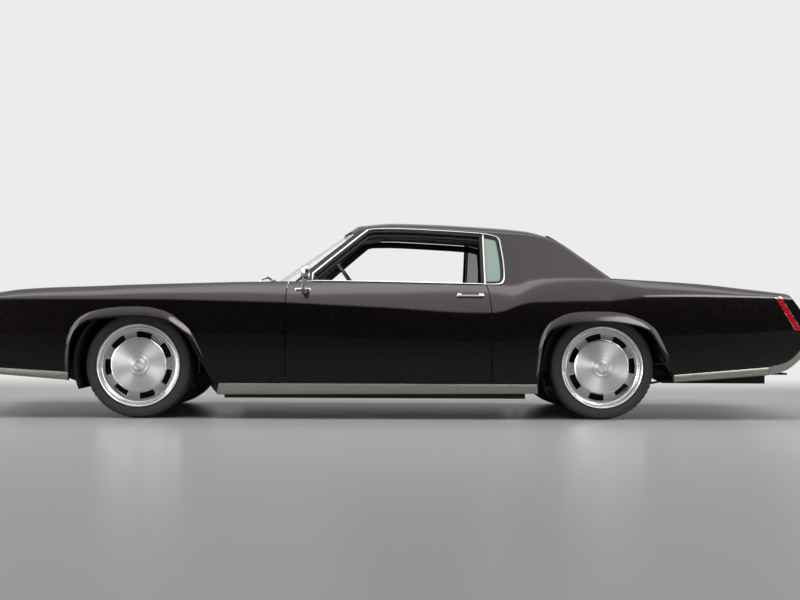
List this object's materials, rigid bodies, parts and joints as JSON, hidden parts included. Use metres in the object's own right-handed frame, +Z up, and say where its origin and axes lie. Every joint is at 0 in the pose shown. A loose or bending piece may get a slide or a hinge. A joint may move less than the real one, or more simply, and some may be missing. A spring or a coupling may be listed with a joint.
{
  "type": "two-door hardtop coupe",
  "caption": "Long, low two-door hardtop coupe with opening doors, hood and boot lid, turning wheels and linked steering.",
  "frame": {"origin": "on the floor under the middle of the car, halfway between nose and tail", "axes": "+X towards the tail, +Y towards the car's right side, +Z up"},
  "size_m": [5.613, 2.028, 1.3194],
  "materials": {
    "paint": "deep gloss brown-black with a fine metallic flake",
    "chrome": "polished plating",
    "satin_nickel": "satin nickel plating",
    "clear_glass": "clear",
    "tinted_glass": "green tint",
    "lamp_red": "moulded lens",
    "grille_metal": "satin plating",
    "chassis_black": "satin underbody black",
    "underbody": "coated floor",
    "engine_metal": "painted casting",
    "exhaust_steel": "dull steel",
    "tank_steel": "satin black",
    "machined_aluminium": "brushed and polished",
    "tyre_rubber": "road tyre",
    "seat_leather": "navy-black hide",
    "dash_plastic": "grained pad",
    "wheel_rim_plastic": "hard rim",
    "trim_black": "satin black"
  },
  "bodies": {
    "body": {"front_fender_left": "paint", "front_fender_right": "paint", "quarter_panel_left": "paint", "quarter_panel_right": "paint", "tail_lamps": "lamp_red", "cowl": "paint", "rear_shelf": "paint", "roof": "paint", "windshield": "clear_glass", "backlight": "clear_glass", "quarter_glass": "tinted_glass", "window_mouldings": "chrome", "front_bumper": "satin_nickel", "rear_bumper": "satin_nickel", "tail_panel": "paint", "grille": "grille_metal", "frame_rails": "chassis_black", "floor_pan": "underbody", "axle_floor": "underbody", "boot_floor": "underbody", "wheelhouses": "underbody", "engine": "engine_metal", "exhaust": "exhaust_steel", "tail_pipes": "exhaust_steel", "fuel_tank": "tank_steel", "front_suspension": "chassis_black", "rear_axle": "chassis_black", "front_seats": "seat_leather", "rear_seat": "seat_leather", "dashboard": "dash_plastic", "wipers": "trim_black", "lower_trim": "satin_nickel"},
    "door_left": {"door_left": "paint", "door_handle_left": "chrome", "mirror_left": "chrome"},
    "knuckle_left": {"knuckle_left": "chassis_black"},
    "door_right": {"door_right": "paint", "door_handle_right": "chrome", "mirror_right": "chrome"},
    "knuckle_right": {"knuckle_right": "chassis_black"},
    "hood": {"hood": "paint"},
    "deck_lid": {"deck_lid": "paint"},
    "steering_wheel": {"steering_wheel": "wheel_rim_plastic"},
    "wheel_front_left": {"wheel_front_left": "machined_aluminium", "tyre_front_left": "tyre_rubber"},
    "wheel_front_right": {"wheel_front_right": "machined_aluminium", "tyre_front_right": "tyre_rubber"},
    "wheel_rear_left": {"wheel_rear_left": "machined_aluminium", "tyre_rear_left": "tyre_rubber"},
    "wheel_rear_right": {"wheel_rear_right": "machined_aluminium", "tyre_rear_right": "tyre_rubber"}
  },
  "joints": [
    {"name": "door_left_hinge", "type": "hinge", "parent": "body", "child": "door_left", "pos_m": [-0.6655, -0.99, 0.56], "axis": [0, 0, -1], "range_deg": [0, 65]},
    {"name": "door_right_hinge", "type": "hinge", "parent": "body", "child": "door_right", "pos_m": [-0.6655, 0.99, 0.56], "axis": [0, 0, 1], "range_deg": [0, 65]},
    {"name": "hood_hinge", "type": "hinge", "parent": "body", "child": "hood", "pos_m": [-0.9335, 0, 0.918], "axis": [0, 1, 0], "range_deg": [0, 50]},
    {"name": "deck_lid_hinge", "type": "hinge", "parent": "body", "child": "deck_lid", "pos_m": [1.7115, 0, 0.93], "axis": [0, -1, 0], "range_deg": [0, 60]},
    {"name": "steer_left", "type": "hinge", "parent": "body", "child": "knuckle_left", "pos_m": [-1.6335, -0.74, 0.345], "axis": [0, 0, 1], "range_deg": [-28, 28]},
    {"name": "steer_right", "type": "hinge", "parent": "body", "child": "knuckle_right", "pos_m": [-1.6335, 0.74, 0.345], "axis": [0, 0, 1], "range_deg": [-28, 28]},
    {"name": "steering_wheel_turn", "type": "hinge", "parent": "body", "child": "steering_wheel", "pos_m": [-0.2235, -0.38, 0.872], "axis": [0.8141, 0, 0.5807], "range_deg": [-448, 448]},
    {"name": "wheel_front_left_spin", "type": "hinge", "parent": "knuckle_left", "child": "wheel_front_left", "pos_m": [-1.6335, -0.785, 0.345], "axis": [0, 1, 0], "continuous": true},
    {"name": "wheel_rear_left_spin", "type": "hinge", "parent": "body", "child": "wheel_rear_left", "pos_m": [1.4145, -0.785, 0.345], "axis": [0, 1, 0], "continuous": true},
    {"name": "wheel_front_right_spin", "type": "hinge", "parent": "knuckle_right", "child": "wheel_front_right", "pos_m": [-1.6335, 0.785, 0.345], "axis": [0, 1, 0], "continuous": true},
    {"name": "wheel_rear_right_spin", "type": "hinge", "parent": "body", "child": "wheel_rear_right", "pos_m": [1.4145, 0.785, 0.345], "axis": [0, 1, 0], "continuous": true}
  ],
  "couplings": [
    {"joint": "steer_right", "follows": "steer_left", "ratio": 1},
    {"joint": "steering_wheel_turn", "follows": "steer_left", "ratio": 16}
  ]
}
